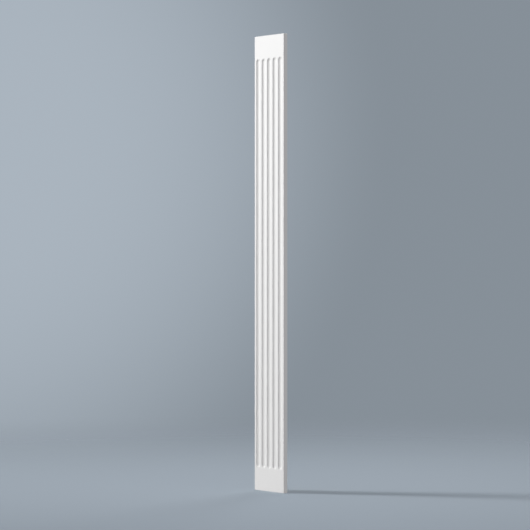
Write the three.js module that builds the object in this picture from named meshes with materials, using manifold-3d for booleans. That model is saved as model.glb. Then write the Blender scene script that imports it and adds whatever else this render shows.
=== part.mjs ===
// Fluted pilaster shaft, moulded in one piece of rigid foam and primed white.
// It is fixed to a wall by its flat back, between a base below and a capital above.
//
// Frame, in millimetres: the origin is the middle of the back face. X runs across
// the width, -Y points out of the wall towards the viewer, and Z points up.

import * as THREE from "three";
import { mergeVertices } from "three/addons/utils/BufferGeometryUtils.js";
import Module from "manifold-3d";

// The panel
const SHAFT_HEIGHT = 2000;
const SHAFT_WIDTH = 200;
const SHAFT_THICKNESS = 20;
const ARRIS_RADIUS = 1.5; // round along the four front edges

// The flutes
const FLUTE_COUNT = 5;
const FLUTE_WIDTH = 27;
const FLUTE_DEPTH = 5;
const FLUTE_SWEEP = 65; // degrees of its ellipse that a hollow spans to each side
const EDGE_LAND = 11.5; // flat strip outside the first and the last flute
const END_BLOCK = 100; // plain length above and below the flutes

// Fineness of the round surfaces
const ARC_STEPS = 16; // facets across one flute
const TURN_STEPS = 32; // facets round the full turn that a flute's end is part of
const ARRIS_STEPS = 3; // facets across the round of a front edge

// How far a cutting body stands clear of the face that it cuts
const CUT_CLEARANCE = 2;

// Corners closer than this are one corner
const WELD_DISTANCE = 1e-4;

const wasm = await Module();
wasm.setup();

// A closed geometry as a solid for joining and cutting.
function solidFrom(geometry) {
  const bare = new THREE.BufferGeometry();
  bare.setAttribute("position", geometry.getAttribute("position"));
  if (geometry.index) bare.setIndex(geometry.index);
  const merged = mergeVertices(bare, WELD_DISTANCE);
  return new wasm.Manifold(
    new wasm.Mesh({
      numProp: 3,
      vertProperties: merged.attributes.position.array,
      triVerts: new Uint32Array(merged.index.array),
    }),
  );
}

// A finished solid as a geometry with flat facets.
function geometryFrom(solid) {
  const { vertProperties, triVerts } = solid.getMesh();
  const geometry = new THREE.BufferGeometry();
  geometry.setAttribute("position", new THREE.BufferAttribute(vertProperties, 3));
  geometry.setIndex(new THREE.BufferAttribute(triVerts, 1));
  const faceted = geometry.toNonIndexed();
  faceted.computeVertexNormals();
  return faceted;
}

// The blank: a board whose front edges are rounded and whose back is cut flat.
// The bevel comes on both faces, so the rear one is made behind the back and cut off.
function boardBlank() {
  const outline = new THREE.Shape([
    new THREE.Vector2(-SHAFT_WIDTH / 2, -SHAFT_HEIGHT / 2),
    new THREE.Vector2(SHAFT_WIDTH / 2, -SHAFT_HEIGHT / 2),
    new THREE.Vector2(SHAFT_WIDTH / 2, SHAFT_HEIGHT / 2),
    new THREE.Vector2(-SHAFT_WIDTH / 2, SHAFT_HEIGHT / 2),
  ]);
  const board = new THREE.ExtrudeGeometry(outline, {
    depth: SHAFT_THICKNESS,
    bevelEnabled: true,
    bevelThickness: ARRIS_RADIUS,
    bevelSize: ARRIS_RADIUS,
    bevelOffset: -ARRIS_RADIUS,
    bevelSegments: ARRIS_STEPS,
  });
  board.translate(0, 0, -ARRIS_RADIUS);
  board.rotateX(Math.PI / 2);

  const behindDepth = 2 * ARRIS_RADIUS + CUT_CLEARANCE;
  const behind = new THREE.BoxGeometry(
    SHAFT_WIDTH + 2 * CUT_CLEARANCE,
    behindDepth,
    SHAFT_HEIGHT + 2 * CUT_CLEARANCE,
  );
  behind.translate(0, behindDepth / 2, 0);
  return solidFrom(board).subtract(solidFrom(behind));
}

// One flute's half section, from its middle line to its edge: x is the distance from
// the middle line and y the height above the face. The hollow is the lower part of an
// ellipse, flat in the middle and steep at the edges, where the face cuts it off. The
// section closes clear of the face.
function fluteHalfSection() {
  const halfWidth = FLUTE_WIDTH / 2;
  const sweep = THREE.MathUtils.degToRad(FLUTE_SWEEP);
  const ellipseHalfWidth = halfWidth / Math.sin(sweep);
  const ellipseHalfHeight = FLUTE_DEPTH / (1 - Math.cos(sweep));
  const section = [];
  const halfSteps = ARC_STEPS / 2;
  for (let step = 0; step <= halfSteps; step += 1) {
    const angle = (sweep * step) / halfSteps;
    const x = ellipseHalfWidth * Math.sin(angle);
    const y = ellipseHalfHeight * (1 - Math.cos(angle)) - FLUTE_DEPTH;
    section.push(new THREE.Vector2(x, y));
  }
  section.push(new THREE.Vector2(halfWidth, CUT_CLEARANCE));
  section.push(new THREE.Vector2(0, CUT_CLEARANCE));
  return section;
}

// The body that cuts one flute, with its length along Z: a straight run, and at each
// end the same section turned round the end's own centre.
function fluteCutter() {
  const half = fluteHalfSection();
  const otherHalf = half
    .slice(1, -1)
    .reverse()
    .map((point) => new THREE.Vector2(-point.x, point.y));
  const section = new THREE.Shape([...half.slice(0, -1), ...otherHalf]);

  const fluteLength = SHAFT_HEIGHT - 2 * END_BLOCK;
  const straightLength = fluteLength - FLUTE_WIDTH;
  const run = new THREE.ExtrudeGeometry(section, {
    depth: straightLength,
    bevelEnabled: false,
  });
  run.translate(0, 0, -straightLength / 2);
  run.rotateZ(Math.PI); // the section's height now points out of the face, along -Y

  let cutter = solidFrom(run);
  for (const side of [-1, 1]) {
    const end = new THREE.LatheGeometry(half, TURN_STEPS);
    end.rotateX(Math.PI);
    end.translate(0, 0, (side * straightLength) / 2);
    cutter = cutter.add(solidFrom(end));
  }
  return cutter;
}

// The shaft: the board with its row of flutes, spread evenly between the edge lands.
function shaftSolid() {
  const cutter = fluteCutter();
  const outerCentre = SHAFT_WIDTH / 2 - EDGE_LAND - FLUTE_WIDTH / 2;
  const pitch = FLUTE_COUNT > 1 ? (2 * outerCentre) / (FLUTE_COUNT - 1) : 0;
  let shaft = boardBlank();
  for (let flute = 0; flute < FLUTE_COUNT; flute += 1) {
    const centre = (flute - (FLUTE_COUNT - 1) / 2) * pitch;
    shaft = shaft.subtract(cutter.translate(centre, -SHAFT_THICKNESS, 0));
  }
  return shaft;
}

const whitePrimer = new THREE.MeshStandardMaterial({
  color: 0xf2f2ef,
  roughness: 0.55,
  metalness: 0,
});

const shaft = new THREE.Mesh(geometryFrom(shaftSolid()), whitePrimer);
shaft.name = "pilaster_shaft";

const pilaster = new THREE.Group();
pilaster.add(shaft);

export default pilaster;
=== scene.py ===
import math

import bpy
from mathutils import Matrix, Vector


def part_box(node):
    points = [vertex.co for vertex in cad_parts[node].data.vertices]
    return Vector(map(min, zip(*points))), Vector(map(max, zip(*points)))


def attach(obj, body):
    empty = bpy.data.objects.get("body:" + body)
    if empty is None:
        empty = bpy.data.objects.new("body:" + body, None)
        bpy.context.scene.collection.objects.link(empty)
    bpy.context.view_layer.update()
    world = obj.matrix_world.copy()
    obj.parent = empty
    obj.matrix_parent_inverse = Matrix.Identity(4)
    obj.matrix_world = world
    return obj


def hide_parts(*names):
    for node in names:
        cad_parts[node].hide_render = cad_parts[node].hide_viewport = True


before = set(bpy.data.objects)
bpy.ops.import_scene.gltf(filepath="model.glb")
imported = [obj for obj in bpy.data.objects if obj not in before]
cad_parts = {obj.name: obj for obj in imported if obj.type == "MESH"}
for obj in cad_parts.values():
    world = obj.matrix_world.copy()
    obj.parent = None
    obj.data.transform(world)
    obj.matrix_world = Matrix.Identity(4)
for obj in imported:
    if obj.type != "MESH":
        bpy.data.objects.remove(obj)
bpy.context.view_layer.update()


# Pilaster shaft
# One moulding of rigid polyurethane foam, cast face down in a polished mould, so its
# face, flutes and edges are smooth. Its back is the open side of the mould, sanded flat
# for the adhesive that holds it. It leaves the works in a white primer.

shaft_low, shaft_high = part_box("pilaster_shaft")
SHAFT_WIDTH = shaft_high[0] - shaft_low[0]
SHAFT_HEIGHT = shaft_high[2] - shaft_low[2]
SHAFT_THICKNESS = shaft_high[1] - shaft_low[1]

FLUTE_COUNT = 5
FLUTE_WIDTH = 0.027
FLUTE_DEPTH = 0.005
FLUTE_SWEEP = math.radians(65)  # part of its ellipse that a hollow spans to each side
EDGE_LAND = 0.0115
END_BLOCK = 0.100
FLUTE_LIP = 0.0006  # radius of the soft edge where a flute meets the face
SHAFT_ARRIS = 0.0015  # radius along the outer edges

TURN_STEPS = 16  # facets round a quarter of a flute's end
HOLLOW_STEPS = 24  # facets from the middle of a flute to its lip
LIP_STEPS = 6  # facets across a flute's lip
ARRIS_STEPS = 8  # facets across the round of an outer edge
WELD = 0.00001  # corners closer than this are one corner
SQUARE_TO_AXIS = 0.9999  # least part of a facet's normal along an axis that it faces

moulding = bpy.data.node_groups.new("Fluted shaft", "GeometryNodeTree")
moulding.is_modifier = True
moulding.interface.new_socket("Shaft", in_out="OUTPUT", socket_type="NodeSocketGeometry")
moulding_sizes = {
    "Width": SHAFT_WIDTH,
    "Height": SHAFT_HEIGHT,
    "Thickness": SHAFT_THICKNESS,
    "Flute count": FLUTE_COUNT,
    "Flute width": FLUTE_WIDTH,
    "Flute depth": FLUTE_DEPTH,
    "Flute sweep": FLUTE_SWEEP,
    "Edge land": EDGE_LAND,
    "End block": END_BLOCK,
    "Flute lip": FLUTE_LIP,
    "Arris": SHAFT_ARRIS,
}
for size_name, size in moulding_sizes.items():
    kind = "NodeSocketInt" if isinstance(size, int) else "NodeSocketFloat"
    moulding.interface.new_socket(size_name, in_out="INPUT", socket_type=kind)
given = moulding.nodes.new("NodeGroupInput")


def feed(slot, value):
    """Gives a node's input a fixed value, or what another node works out."""
    if isinstance(value, Measure):
        value = value.socket
    if isinstance(value, bpy.types.NodeSocket):
        slot.id_data.links.new(value, slot)
    else:
        slot.default_value = value


def add_step(tree, kind, settings=None, **inputs):
    """A node in a tree, with its settings made and its inputs fed by name."""
    step = tree.nodes.new(kind)
    for setting, value in (settings or {}).items():
        setattr(step, setting, value)
    for slot_name, value in inputs.items():
        feed(step.inputs[slot_name.replace("_", " ")], value)
    return step


def moulding_step(kind, settings=None, **inputs):
    """One step in making the moulding."""
    return add_step(moulding, kind, settings, **inputs)


class Measure:
    """A length, an angle or a share that the nodes work out, written as plain sums."""

    def __init__(self, socket):
        self.socket = socket

    def worked(self, operation, *others):
        step = add_step(self.socket.id_data, "ShaderNodeMath", {"operation": operation})
        for slot, value in zip(step.inputs, (self, *others)):
            feed(slot, value)
        return Measure(step.outputs[0])

    def ranged(self, low, high, at_low=0.0, at_high=1.0, course="LINEAR"):
        """What runs from at_low to at_high while this runs from low to high."""
        step = add_step(
            self.socket.id_data,
            "ShaderNodeMapRange",
            {"interpolation_type": course},
            Value=self,
            From_Min=low,
            From_Max=high,
            To_Min=at_low,
            To_Max=at_high,
        )
        return Measure(step.outputs[0])

    def __add__(self, other):
        return self.worked("ADD", other)

    def __sub__(self, other):
        return self.worked("SUBTRACT", other)

    def __rsub__(self, other):
        return self.worked("MULTIPLY", -1.0) + other

    def __mul__(self, other):
        return self.worked("MULTIPLY", other)

    def __truediv__(self, other):
        return self.worked("DIVIDE", other)

    def __gt__(self, other):
        return self.worked("GREATER_THAN", other)

    def __lt__(self, other):
        return self.worked("LESS_THAN", other)


def given_size(size_name):
    return Measure(given.outputs[size_name])


def point(x, y, z):
    return moulding_step("ShaderNodeCombineXYZ", X=x, Y=y, Z=z).outputs[0]


def moulded_ring(reach_x, reach_z, turn_steps, section_steps, radius_at, level_at):
    """A skin that runs round a rectangle with round corners, one section after another.

    The corners' centres are reach_x and reach_z from the middle. radius_at and level_at
    give a row's distance from its corner's centre and its place along Y.
    """
    columns = 4 * (turn_steps + 1)
    net = moulding_step(
        "GeometryNodeMeshGrid",
        Size_X=float(columns),
        Size_Y=float(section_steps),
        Vertices_X=columns + 1,
        Vertices_Y=section_steps + 1,
    )
    place = moulding_step("ShaderNodeSeparateXYZ")
    feed(place.inputs[0], moulding_step("GeometryNodeInputPosition").outputs[0])
    column = (Measure(place.outputs["X"]) + columns / 2).worked("ROUND")
    row = (Measure(place.outputs["Y"]) + section_steps / 2).worked("ROUND")

    corner = (column / (turn_steps + 1)).worked("FLOOR")
    share_of_turn = (column - corner * (turn_steps + 1)) / turn_steps
    angle = (corner + share_of_turn) * (math.pi / 2)
    corner_direction = (corner + 0.5) * (math.pi / 2)
    side_x = corner_direction.worked("COSINE").worked("SIGN")
    side_z = corner_direction.worked("SINE").worked("SIGN")
    radius = radius_at(row)
    across = side_x * reach_x + radius * angle.worked("COSINE")
    up = side_z * reach_z + radius * angle.worked("SINE")
    skin = moulding_step(
        "GeometryNodeSetPosition",
        Geometry=net.outputs["Mesh"],
        Position=point(across, level_at(row), up),
    )
    return skin.outputs[0]


# The hollow of a flute is the lower part of an ellipse, which the face cuts off where it
# is steep. The lip is a small round that touches the face and the hollow. The sizes at
# the rim are those of a radian of the ellipse there.
thickness = given_size("Thickness")
lip = given_size("Flute lip")
flute_half = given_size("Flute width") * 0.5
flute_depth = given_size("Flute depth")
flute_sweep = given_size("Flute sweep")
ellipse_half_width = flute_half / flute_sweep.worked("SINE")
ellipse_half_height = flute_depth / (1.0 - flute_sweep.worked("COSINE"))
run_at_rim = ellipse_half_width * flute_sweep.worked("COSINE")
rise_at_rim = ellipse_half_height * flute_sweep.worked("SINE")
lip_turn = rise_at_rim.worked("ARCTAN2", run_at_rim)
lip_reach = lip * (lip_turn * 0.5).worked("TANGENT")
length_at_rim = (run_at_rim * run_at_rim + rise_at_rim * rise_at_rim).worked("SQRT")
hollow_sweep = flute_sweep - lip_reach / length_at_rim


def flute_radius(row):
    lip_angle = lip_turn * row / LIP_STEPS
    on_lip = flute_half + lip_reach - lip * lip_angle.worked("SINE")
    hollow_angle = hollow_sweep * (LIP_STEPS + HOLLOW_STEPS - row) / HOLLOW_STEPS
    in_hollow = ellipse_half_width * hollow_angle.worked("SINE")
    past_lip = row > LIP_STEPS + 0.5
    return on_lip + (in_hollow - on_lip) * past_lip


def flute_level(row):
    lip_angle = lip_turn * row / LIP_STEPS
    on_lip = lip * (1.0 - lip_angle.worked("COSINE"))
    hollow_angle = hollow_sweep * (LIP_STEPS + HOLLOW_STEPS - row) / HOLLOW_STEPS
    in_hollow = flute_depth - ellipse_half_height * (1.0 - hollow_angle.worked("COSINE"))
    past_lip = row > LIP_STEPS + 0.5
    return on_lip + (in_hollow - on_lip) * past_lip - thickness


flute_reach = given_size("Height") * 0.5 - given_size("End block") - flute_half
flute = moulded_ring(
    0.0, flute_reach, TURN_STEPS, LIP_STEPS + HOLLOW_STEPS, flute_radius, flute_level
)

# The flutes stand in a row, spread evenly between the two edge lands.
outer_flute = given_size("Width") * 0.5 - given_size("Edge land") - flute_half
gaps = given_size("Flute count") - 1.0
flute_places = moulding_step(
    "GeometryNodeMeshLine",
    Count=given.outputs["Flute count"],
    Start_Location=point(outer_flute * -1.0, 0.0, 0.0),
    Offset=point(outer_flute * 2.0 / gaps, 0.0, 0.0),
)
flute_row = moulding_step(
    "GeometryNodeInstanceOnPoints", Points=flute_places.outputs[0], Instance=flute
)
flutes = moulding_step("GeometryNodeRealizeInstances", Geometry=flute_row.outputs[0])

# The edge runs round the board from the back to the start of the face.
arris = given_size("Arris")


def arris_angle(row):
    return (row - 1.0).worked("MAXIMUM", 0.0) * (math.pi / 2 / ARRIS_STEPS)


def edge_radius(row):
    return arris * arris_angle(row).worked("COSINE")


def edge_level(row):
    on_arris = arris - thickness - arris * arris_angle(row).worked("SINE")
    return on_arris * (row > 0.5)


edge = moulded_ring(
    given_size("Width") * 0.5 - arris,
    given_size("Height") * 0.5 - arris,
    ARRIS_STEPS,
    ARRIS_STEPS + 1,
    edge_radius,
    edge_level,
)

open_skin = moulding_step("GeometryNodeJoinGeometry")
feed(open_skin.inputs[0], edge)
feed(open_skin.inputs[0], flutes.outputs[0])
welded_skin = moulding_step(
    "GeometryNodeMergeByDistance", Geometry=open_skin.outputs[0], Distance=WELD
).outputs[0]


# The face and the back are flat sheets, filled in between the open edges of the skin,
# which are those with a facet on one side only.
def flat_sheet(on_the_face):
    facets_beside = Measure(moulding_step("GeometryNodeInputMeshEdgeNeighbors").outputs[0])
    border = facets_beside < 1.5
    place = moulding_step("ShaderNodeSeparateXYZ")
    feed(place.inputs[0], moulding_step("GeometryNodeInputPosition").outputs[0])
    behind_middle = Measure(place.outputs["Y"]) > thickness * -0.5
    wanted = border * (1.0 - behind_middle) if on_the_face else border * behind_middle
    outline = moulding_step(
        "GeometryNodeMeshToCurve", Mesh=welded_skin, Selection=wanted
    )
    laid_down = moulding_step(
        "GeometryNodeTransform",
        Geometry=outline.outputs[0],
        Rotation=(-math.pi / 2, 0.0, 0.0),
    )
    sheet = moulding_step("GeometryNodeFillCurve", Curve=laid_down.outputs[0])
    stood_up = moulding_step(
        "GeometryNodeTransform",
        Geometry=sheet.outputs[0],
        Translation=point(0.0, thickness * -1.0 if on_the_face else 0.0, 0.0),
        Rotation=(math.pi / 2, 0.0, 0.0),
    ).outputs[0]
    if on_the_face:
        return stood_up
    return moulding_step("GeometryNodeFlipFaces", Mesh=stood_up).outputs[0]


whole_skin = moulding_step("GeometryNodeJoinGeometry")
face_sheet = flat_sheet(on_the_face=True)
back_sheet = flat_sheet(on_the_face=False)
for skin_part in (welded_skin, face_sheet, back_sheet):
    feed(whole_skin.inputs[0], skin_part)
closed_skin = moulding_step(
    "GeometryNodeMergeByDistance", Geometry=whole_skin.outputs[0], Distance=WELD
)

# Round stretches are shaded smooth, and sheets that are square to an axis stay flat.
facing = moulding_step("ShaderNodeSeparateXYZ")
feed(facing.inputs[0], moulding_step("GeometryNodeInputNormal").outputs[0])
squareness = Measure(facing.outputs["X"]).worked("ABSOLUTE")
for axis in ("Y", "Z"):
    squareness = squareness.worked("MAXIMUM", Measure(facing.outputs[axis]).worked("ABSOLUTE"))
shaded = moulding_step(
    "GeometryNodeSetShadeSmooth",
    Geometry=closed_skin.outputs[0],
    Shade_Smooth=squareness < SQUARE_TO_AXIS,
)


# The primer is a thin sprayed coat: neutral white, between matt and satin, with a fine
# orange peel, a slow change of tone and a few pinholes left by air in the mould.
PRIMER_WHITE = (0.875, 0.875, 0.861, 1.0)
PRIMER_SHADE = (0.850, 0.850, 0.836, 1.0)
PRIMER_ROUGHNESS = (0.48, 0.60)
PEEL_SIZE = 0.0020  # from one crest of the orange peel to the next
PEEL_HEIGHT = 0.00003
CLOUD_SIZE = 0.12  # of the slow change of tone over the board
PINHOLE_SPACING = 0.040
PINHOLE_SIZE = 0.00035
PINHOLE_DEPTH = 0.0002

# The back is foam that was sanded flat: warmer than the primer and quite matt, with fine
# pores that are painted darker, as shade in them, and long sanding streaks. Primer has
# drifted round onto its rim.
FOAM_LIGHT = (0.870, 0.835, 0.765, 1.0)
FOAM_DARK = (0.810, 0.765, 0.680, 1.0)
FOAM_ROUGHNESS = 0.85
FOAM_TONE = (0.35, 0.65)  # the tones at which the foam is darkest and lightest
STREAK_SHARE = 0.6  # of the tone that comes from the streaks, and the rest from clouds
STREAK_WIDTH = 0.0025
STREAK_LENGTH = 0.25
STREAK_DEPTH = 0.00005
# colour of the painted shade inside the pores
PAINTED_PORE_SHADE = (0.640, 0.580, 0.490, 1.0)
PORE_SPACING = 0.0018
PORE_SIZE = 0.0007
PORE_DEPTH = 0.00015
DRIFT_REACH = 0.016  # how far the primer comes in from the rim
DRIFT_RAGGEDNESS = 0.012


def new_finish(finish_name):
    """A material that is empty but for its output and the object's own coordinates."""
    material = bpy.data.materials.new(finish_name)
    material.use_nodes = True
    tree = material.node_tree
    tree.nodes.clear()
    place = add_step(tree, "ShaderNodeTexCoord").outputs["Object"]
    surface = add_step(tree, "ShaderNodeOutputMaterial").inputs["Surface"]
    return material, tree, place, surface


def clouded(place, size, detail):
    """A soft random pattern from nothing to one, a given size from crest to crest."""
    noise = add_step(
        place.id_data, "ShaderNodeTexNoise", Vector=place, Scale=1 / size, Detail=detail
    )
    return Measure(noise.outputs[0])


def dotted(place, spacing, size):
    """Scattered round dots, which are one in the middle and nothing at the rim."""
    cells = add_step(place.id_data, "ShaderNodeTexVoronoi", Vector=place, Scale=1 / spacing)
    from_middle = Measure(cells.outputs["Distance"])
    return from_middle.ranged(size / spacing, size / spacing / 2)


def blended_colour(share, first, second):
    mix = add_step(share.socket.id_data, "ShaderNodeMix", {"data_type": "RGBA"}, Factor=share)
    first_slot, second_slot = [slot for slot in mix.inputs if slot.type == "RGBA"]
    feed(first_slot, first)
    feed(second_slot, second)
    return next(slot for slot in mix.outputs if slot.type == "RGBA")


def coat(tree, colour, roughness, relief):
    """A matt to satin surface whose relief is in metres."""
    bump = add_step(tree, "ShaderNodeBump", Height=relief, Distance=1.0)
    shader = add_step(
        tree,
        "ShaderNodeBsdfPrincipled",
        Base_Color=colour,
        Roughness=roughness,
        Normal=bump.outputs[0],
    )
    return shader.outputs[0]


def white_primer():
    material, tree, place, surface = new_finish("White primer")
    peel = clouded(place, PEEL_SIZE, detail=1.5)
    pinholes = dotted(place, PINHOLE_SPACING, PINHOLE_SIZE)
    tone = clouded(place, CLOUD_SIZE, detail=3.0)
    colour = blended_colour(tone, PRIMER_SHADE, PRIMER_WHITE)
    roughness = peel.ranged(0.0, 1.0, *PRIMER_ROUGHNESS)
    relief = peel * PEEL_HEIGHT - pinholes * PINHOLE_DEPTH
    feed(surface, coat(tree, colour, roughness, relief))
    return material


def sanded_foam():
    material, tree, place, surface = new_finish("Sanded foam")
    drawn_out = add_step(
        tree,
        "ShaderNodeMapping",
        Vector=place,
        Scale=(1.0, 1.0, STREAK_WIDTH / STREAK_LENGTH),
    )
    streaks = clouded(drawn_out.outputs[0], STREAK_WIDTH, detail=2.0)
    clouds = clouded(place, CLOUD_SIZE, detail=4.0)
    tone = streaks * STREAK_SHARE + clouds * (1 - STREAK_SHARE)
    foam = blended_colour(tone.ranged(*FOAM_TONE), FOAM_DARK, FOAM_LIGHT)
    pores = dotted(place, PORE_SPACING, PORE_SIZE)
    # The pores are painted darker, standing in for the shade inside them.
    foam_with_painted_pore_shade = blended_colour(pores, foam, PAINTED_PORE_SHADE)

    spot = add_step(tree, "ShaderNodeSeparateXYZ", Vector=place)
    to_side = SHAFT_WIDTH / 2 - Measure(spot.outputs["X"]).worked("ABSOLUTE")
    to_end = SHAFT_HEIGHT / 2 - Measure(spot.outputs["Z"]).worked("ABSOLUTE")
    raggedness = (clouded(place, DRIFT_RAGGEDNESS, detail=4.0) - 0.5) * DRIFT_RAGGEDNESS
    to_rim = to_side.worked("MINIMUM", to_end) + raggedness
    drift = to_rim.ranged(DRIFT_REACH, 0.0)
    colour = blended_colour(drift, foam_with_painted_pore_shade, PRIMER_SHADE)
    roughness = drift.ranged(0.0, 1.0, FOAM_ROUGHNESS, PRIMER_ROUGHNESS[1])
    relief = streaks * STREAK_DEPTH - pores * PORE_DEPTH
    feed(surface, coat(tree, colour, roughness, relief))
    return material


made_real = moulding_step("GeometryNodeRealizeInstances", Geometry=shaded.outputs[0])
primed = moulding_step(
    "GeometryNodeSetMaterial", Geometry=made_real.outputs[0], Material=white_primer()
)
bare_backed = moulding_step(
    "GeometryNodeSetMaterial",
    Geometry=primed.outputs[0],
    Selection=Measure(facing.outputs["Y"]) > SQUARE_TO_AXIS,
    Material=sanded_foam(),
)
moulding_end = moulding.nodes.new("NodeGroupOutput")
feed(moulding_end.inputs[0], bare_backed.outputs[0])

shaft = bpy.data.objects.new("fluted_shaft", bpy.data.meshes.new("fluted_shaft"))
bpy.context.scene.collection.objects.link(shaft)
making = shaft.modifiers.new("Moulding", "NODES")
making.node_group = moulding
for socket in moulding.interface.items_tree:
    if socket.in_out == "INPUT":
        making[socket.identifier] = moulding_sizes[socket.name]
depsgraph = bpy.context.evaluated_depsgraph_get()
shaft_mesh = bpy.data.meshes.new_from_object(shaft.evaluated_get(depsgraph))
shaft.modifiers.remove(making)
shaft.data = shaft_mesh

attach(shaft, "root")
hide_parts("pilaster_shaft")


# Floor
# A plain pale floor that the shaft stands on. It isn't part of the object, and it fades
# into the backdrop before its rim. It is only seen: the light that a floor throws up is
# part of the surround, so that the floor's colour doesn't tint the shaft.

FLOOR_COLOUR = (0.430, 0.494, 0.554, 1.0)
FLOOR_RADIUS = 5.0
FLOOR_SIDES = 64
FADE_START = 0.8  # distance from the middle of the shaft where the fading begins


def mixed_shaders(share, first, second):
    mix = add_step(share.socket.id_data, "ShaderNodeMixShader", Fac=share)
    feed(mix.inputs[1], first)
    feed(mix.inputs[2], second)
    return mix.outputs[0]


floor_rim = [2 * math.pi * corner / FLOOR_SIDES for corner in range(FLOOR_SIDES)]
floor_mesh = bpy.data.meshes.new("floor")
floor_mesh.from_pydata(
    [
        (FLOOR_RADIUS * math.cos(turn), FLOOR_RADIUS * math.sin(turn), shaft_low[2])
        for turn in floor_rim
    ],
    [],
    [list(range(FLOOR_SIDES))],
)
floor_paint, paint_tree, floor_place, floor_surface = new_finish("Floor paint")
from_shaft = add_step(
    paint_tree, "ShaderNodeVectorMath", {"operation": "LENGTH"}, Vector=floor_place
)
fade = Measure(from_shaft.outputs["Value"]).ranged(
    FADE_START, FLOOR_RADIUS, course="SMOOTHSTEP"
)
paint = add_step(paint_tree, "ShaderNodeBsdfDiffuse", Color=FLOOR_COLOUR)
clear = add_step(paint_tree, "ShaderNodeBsdfTransparent")
feed(floor_surface, mixed_shaders(fade, paint.outputs[0], clear.outputs[0]))
floor_mesh.materials.append(floor_paint)
floor = bpy.data.objects.new("floor", floor_mesh)
bpy.context.scene.collection.objects.link(floor)
floor.visible_diffuse = False
floor.visible_glossy = False
floor.visible_shadow = False


# Studio light
# A tall soft light stands on the left and is aimed just over the shaft. Fills stand in
# front and behind, and an even surround, weaker from below, lights the shade. The camera
# sees a plain blue-grey backdrop with a painted glow of light up on the left.

VIEW_TURN = math.radians(50.5)  # of the camera, off the face
SURROUND_LIGHT = (0.436, 0.435, 0.449, 1.0)
BOUNCED_LIGHT = (0.378, 0.377, 0.389, 1.0)
BACKDROP_COLOUR = (0.240, 0.277, 0.316, 1.0)
GLOW_COLOUR = (0.404, 0.460, 0.520, 1.0)
GLOW_TURN = VIEW_TURN + math.radians(8.5)
GLOW_RISE = math.radians(3.5)
GLOW_REACH = math.radians(12.0)


def soft_light(light_name, place, aim, width, height, power, spread=math.pi):
    """A rectangular light at a place, facing another place."""
    light_data = bpy.data.lights.new(light_name, "AREA")
    light_data.shape = "RECTANGLE"
    light_data.size = width
    light_data.size_y = height
    light_data.spread = spread
    light_data.energy = power
    light = bpy.data.objects.new(light_name, light_data)
    light.location = place
    light.rotation_mode = "QUATERNION"
    light.rotation_quaternion = (Vector(aim) - Vector(place)).to_track_quat("-Z", "Y")
    bpy.context.scene.collection.objects.link(light)


soft_light(
    "key",
    place=(-7.40, -5.96, 4.30),
    aim=(0.0, 0.0, 1.2),
    width=2.1,
    height=6.0,
    power=99.0,
    spread=math.radians(52.0),
)
soft_light(
    "front fill",
    place=(0.0, -8.0, 1.5),
    aim=(0.0, 0.0, 0.0),
    width=5.0,
    height=5.0,
    power=14.0,
)
soft_light(
    "back fill",
    place=(-4.0, 8.0, 3.5),
    aim=(0.0, 0.0, 0.0),
    width=4.0,
    height=4.0,
    power=170.0,
)

surround = bpy.data.worlds.new("Surround")
surround.use_nodes = True
surround_tree = surround.node_tree
surround_tree.nodes.clear()
looked_at = add_step(surround_tree, "ShaderNodeTexCoord").outputs["Generated"]
nearness = add_step(
    surround_tree, "ShaderNodeVectorMath", {"operation": "DOT_PRODUCT"}, Vector=looked_at
)
nearness.inputs[1].default_value = (
    -math.sin(GLOW_TURN) * math.cos(GLOW_RISE),
    math.cos(GLOW_TURN) * math.cos(GLOW_RISE),
    math.sin(GLOW_RISE),
)
# A painted glow of light on the backdrop, up on the left, darker away from it.
glow = Measure(nearness.outputs["Value"]).ranged(
    math.cos(GLOW_REACH), 1.0, course="SMOOTHSTEP"
)
plain_backdrop = add_step(surround_tree, "ShaderNodeBackground", Color=BACKDROP_COLOUR)
lit_backdrop = add_step(surround_tree, "ShaderNodeBackground", Color=GLOW_COLOUR)
backdrop = mixed_shaders(glow, plain_backdrop.outputs[0], lit_backdrop.outputs[0])
from_above = add_step(surround_tree, "ShaderNodeBackground", Color=SURROUND_LIGHT)
from_below = add_step(surround_tree, "ShaderNodeBackground", Color=BOUNCED_LIGHT)
rise = add_step(surround_tree, "ShaderNodeSeparateXYZ", Vector=looked_at).outputs["Z"]
even_light = mixed_shaders(Measure(rise) > 0.0, from_below.outputs[0], from_above.outputs[0])
seen = Measure(add_step(surround_tree, "ShaderNodeLightPath").outputs["Is Camera Ray"])
surround_end = add_step(surround_tree, "ShaderNodeOutputWorld")
feed(surround_end.inputs["Surface"], mixed_shaders(seen, even_light, backdrop))
bpy.context.scene.world = surround
bpy.context.scene.view_settings.view_transform = "Standard"


# Camera
# It is level, a little under the middle of the shaft, and looks from the right, 50.5
# degrees off the face.

CAMERA_LENS = 145.47
EDGE_DISTANCE = 9.461  # from the lens to the face's left edge, along the view
EDGE_OFFSET = -0.0457  # of that edge from the middle of the picture
CAMERA_HEIGHT = -0.0074

view_right = Vector((math.cos(VIEW_TURN), math.sin(VIEW_TURN), 0.0))
view_forward = Vector((-math.sin(VIEW_TURN), math.cos(VIEW_TURN), 0.0))
left_edge = Vector((shaft_low[0], shaft_low[1], CAMERA_HEIGHT))
camera_data = bpy.data.cameras.new("camera")
camera_data.lens = CAMERA_LENS
camera = bpy.data.objects.new("camera", camera_data)
camera.location = left_edge - view_right * EDGE_OFFSET - view_forward * EDGE_DISTANCE
camera.rotation_mode = "QUATERNION"
camera.rotation_quaternion = view_forward.to_track_quat("-Z", "Y")
bpy.context.scene.collection.objects.link(camera)
bpy.context.scene.camera = camera
